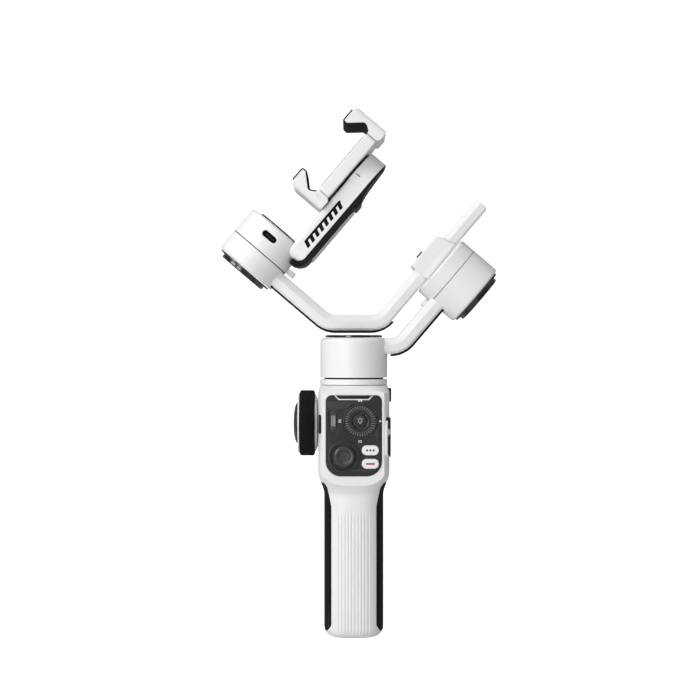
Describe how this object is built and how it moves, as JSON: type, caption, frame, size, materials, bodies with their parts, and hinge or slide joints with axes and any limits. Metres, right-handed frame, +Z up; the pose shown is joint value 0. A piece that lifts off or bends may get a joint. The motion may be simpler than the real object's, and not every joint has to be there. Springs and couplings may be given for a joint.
{
  "type": "smartphone gimbal stabilizer",
  "caption": "Hand-held three-axis phone gimbal: ribbed handle with control panel, focus wheel and trigger, leaning roll motor, bent swing arm, tilt motor and sprung phone clamp.",
  "frame": {"origin": "mouth of the tripod thread, in the middle of the handle's bottom face, on the pan axis", "axes": "+Z up along the handle and the pan axis, -Y towards the user's thumb and the control panel, +X to the right as seen from the control panel side"},
  "size_m": [0.163, 0.0575, 0.3089],
  "materials": {
    "shell_white": "satin moulded plastic, very light speckle-free texture",
    "key_white": "satin moulded key",
    "accent_black": "fine matt moulded texture",
    "rubber_black": "soft-touch elastomer",
    "panel_grey": "semi-gloss dark panel",
    "key_grey": "satin grey key",
    "gloss_black": "polished black",
    "steel": "fine ground",
    "silver_plate": "brushed",
    "winding_copper": "enamelled copper wire on a laminated core",
    "thread_brass": "machined",
    "board_green": "solder resist",
    "cell_wrap": "shrink wrapped cell can"
  },
  "bodies": {
    "handle": {"handle_front_shell": "shell_white", "handle_rear_shell": "shell_white", "grip_inlay_right": "rubber_black", "grip_inlay_left": "rubber_black", "bottom_cap": "shell_white", "tripod_thread_insert": "thread_brass", "battery_cell": "cell_wrap", "main_circuit_board": "board_green", "pan_collar": "shell_white", "pan_motor_base": "accent_black", "control_panel": "panel_grey", "status_display": "gloss_black", "usb_charge_port": "accent_black", "wheel_bushing": "accent_black", "trigger_pin": "steel"},
    "control_dial": {"control_dial": "panel_grey"},
    "dial_button": {"dial_button": "panel_grey"},
    "joystick_yoke": {"joystick_yoke": "steel"},
    "joystick_cap": {"joystick_cap": "rubber_black"},
    "menu_button": {"menu_button": "key_grey"},
    "mode_button": {"mode_button": "key_white"},
    "record_button": {"record_button": "key_white"},
    "power_button": {"power_button": "accent_black"},
    "zoom_button": {"zoom_button": "accent_black"},
    "focus_wheel": {"focus_wheel_ring": "rubber_black", "focus_wheel_hub": "shell_white", "focus_wheel_cap": "panel_grey"},
    "trigger": {"trigger": "accent_black"},
    "pan_yoke": {"pan_housing": "shell_white", "pan_cap": "gloss_black", "pan_shaft": "steel", "pan_arm": "shell_white", "pan_arm_strip": "accent_black", "roll_housing": "shell_white", "roll_cap": "gloss_black", "roll_stator": "winding_copper"},
    "roll_rotor": {"roll_rotor_shell": "shell_white", "arm_clamp": "shell_white"},
    "roll_lock": {"roll_lock_tab": "shell_white"},
    "arm_lock": {"arm_lock_screw": "accent_black"},
    "swing_arm": {"swing_arm": "shell_white", "swing_arm_strip": "accent_black", "tilt_housing": "shell_white", "tilt_cap": "gloss_black", "tilt_stator": "winding_copper"},
    "tilt_rotor": {"tilt_rotor_shell": "shell_white", "tilt_shaft": "gloss_black", "tilt_usb_port": "accent_black", "cradle_shell": "shell_white", "cradle_back_cover": "accent_black", "cradle_plate": "silver_plate"},
    "tilt_lock": {"tilt_lock_tab": "shell_white"},
    "phone_clamp": {"clamp_turntable": "accent_black", "clamp_bar": "shell_white", "clamp_bar_pad": "rubber_black", "lower_jaw": "shell_white", "lower_jaw_pad": "rubber_black"},
    "upper_jaw": {"upper_jaw": "shell_white", "upper_jaw_pad": "rubber_black", "jaw_tongue": "steel"}
  },
  "joints": [
    {"name": "pan_turn", "type": "hinge", "parent": "handle", "child": "pan_yoke", "pos_m": [0, 0, 0.163], "axis": [0, 0, 1], "range_deg": [-150, 150]},
    {"name": "roll_turn", "type": "hinge", "parent": "pan_yoke", "child": "roll_rotor", "pos_m": [0.05838, 0, 0.2117], "axis": [-0.7604, 0, 0.6494], "range_deg": [-162, 162]},
    {"name": "arm_slide", "type": "slide", "parent": "roll_rotor", "child": "swing_arm", "axis": [0.6494, 0, 0.7604], "range_m": [0, 0.012]},
    {"name": "tilt_turn", "type": "hinge", "parent": "swing_arm", "child": "tilt_rotor", "pos_m": [-0.05374, 0, 0.22855], "axis": [0.6494, 0, 0.7604], "range_deg": [-168, 168]},
    {"name": "clamp_turn", "type": "hinge", "parent": "tilt_rotor", "child": "phone_clamp", "pos_m": [0.00022, 0, 0.27202], "axis": [-0.7604, 0, 0.6494], "range_deg": [0, 90]},
    {"name": "jaw_slide", "type": "slide", "parent": "phone_clamp", "child": "upper_jaw", "axis": [0.6494, 0, 0.7604], "range_m": [0, 0.034], "stiffness_N_per_m": 300, "springref_m": -0.02},
    {"name": "roll_lock_slide", "type": "slide", "parent": "roll_rotor", "child": "roll_lock", "axis": [0.7604, 0, -0.6494], "range_m": [0, 0.0025]},
    {"name": "tilt_lock_slide", "type": "slide", "parent": "tilt_rotor", "child": "tilt_lock", "axis": [-0.6494, 0, -0.7604], "range_m": [0, 0.0025]},
    {"name": "lock_screw_turn", "type": "hinge", "parent": "roll_rotor", "child": "arm_lock", "pos_m": [0.03983, 0, 0.22386], "axis": [-0.7604, 0, 0.6494], "range_deg": [0, 180]},
    {"name": "dial_turn", "type": "hinge", "parent": "handle", "child": "control_dial", "pos_m": [0.0036, -0.0233, 0.1271], "axis": [0, -1, 0], "continuous": true},
    {"name": "dial_press", "type": "slide", "parent": "control_dial", "child": "dial_button", "axis": [0, 1, 0], "range_m": [0, 0.0005], "stiffness_N_per_m": 900, "springref_m": -0.0006},
    {"name": "joystick_tilt_side", "type": "hinge", "parent": "handle", "child": "joystick_yoke", "pos_m": [-0.0056, -0.0174, 0.1066], "axis": [0, 0, 1], "range_deg": [-9, 9], "stiffness_Nm_per_rad": 0.03},
    {"name": "joystick_tilt_up", "type": "hinge", "parent": "joystick_yoke", "child": "joystick_cap", "pos_m": [-0.0056, -0.0174, 0.1066], "axis": [1, 0, 0], "range_deg": [-9, 9], "stiffness_Nm_per_rad": 0.03},
    {"name": "menu_press", "type": "slide", "parent": "handle", "child": "menu_button", "axis": [0, 1, 0], "range_m": [0, 0.0005], "stiffness_N_per_m": 900, "springref_m": -0.0006},
    {"name": "mode_press", "type": "slide", "parent": "handle", "child": "mode_button", "axis": [0, 1, 0], "range_m": [0, 0.0005], "stiffness_N_per_m": 900, "springref_m": -0.0006},
    {"name": "record_press", "type": "slide", "parent": "handle", "child": "record_button", "axis": [0, 1, 0], "range_m": [0, 0.0005], "stiffness_N_per_m": 900, "springref_m": -0.0006},
    {"name": "power_press", "type": "slide", "parent": "handle", "child": "power_button", "axis": [-1, 0, 0], "range_m": [0, 0.0006], "stiffness_N_per_m": 900, "springref_m": -0.0006},
    {"name": "zoom_press", "type": "slide", "parent": "handle", "child": "zoom_button", "axis": [-1, 0, 0], "range_m": [0, 0.0004], "stiffness_N_per_m": 900, "springref_m": -0.0006},
    {"name": "focus_turn", "type": "hinge", "parent": "handle", "child": "focus_wheel", "pos_m": [-0.0275, 0, 0.1251], "axis": [-1, 0, 0], "continuous": true},
    {"name": "trigger_pull", "type": "hinge", "parent": "handle", "child": "trigger", "pos_m": [0, 0.0182, 0.134], "axis": [-1, 0, 0], "range_deg": [0, 9], "stiffness_Nm_per_rad": 0.3, "springref_deg": -5.73}
  ]
}
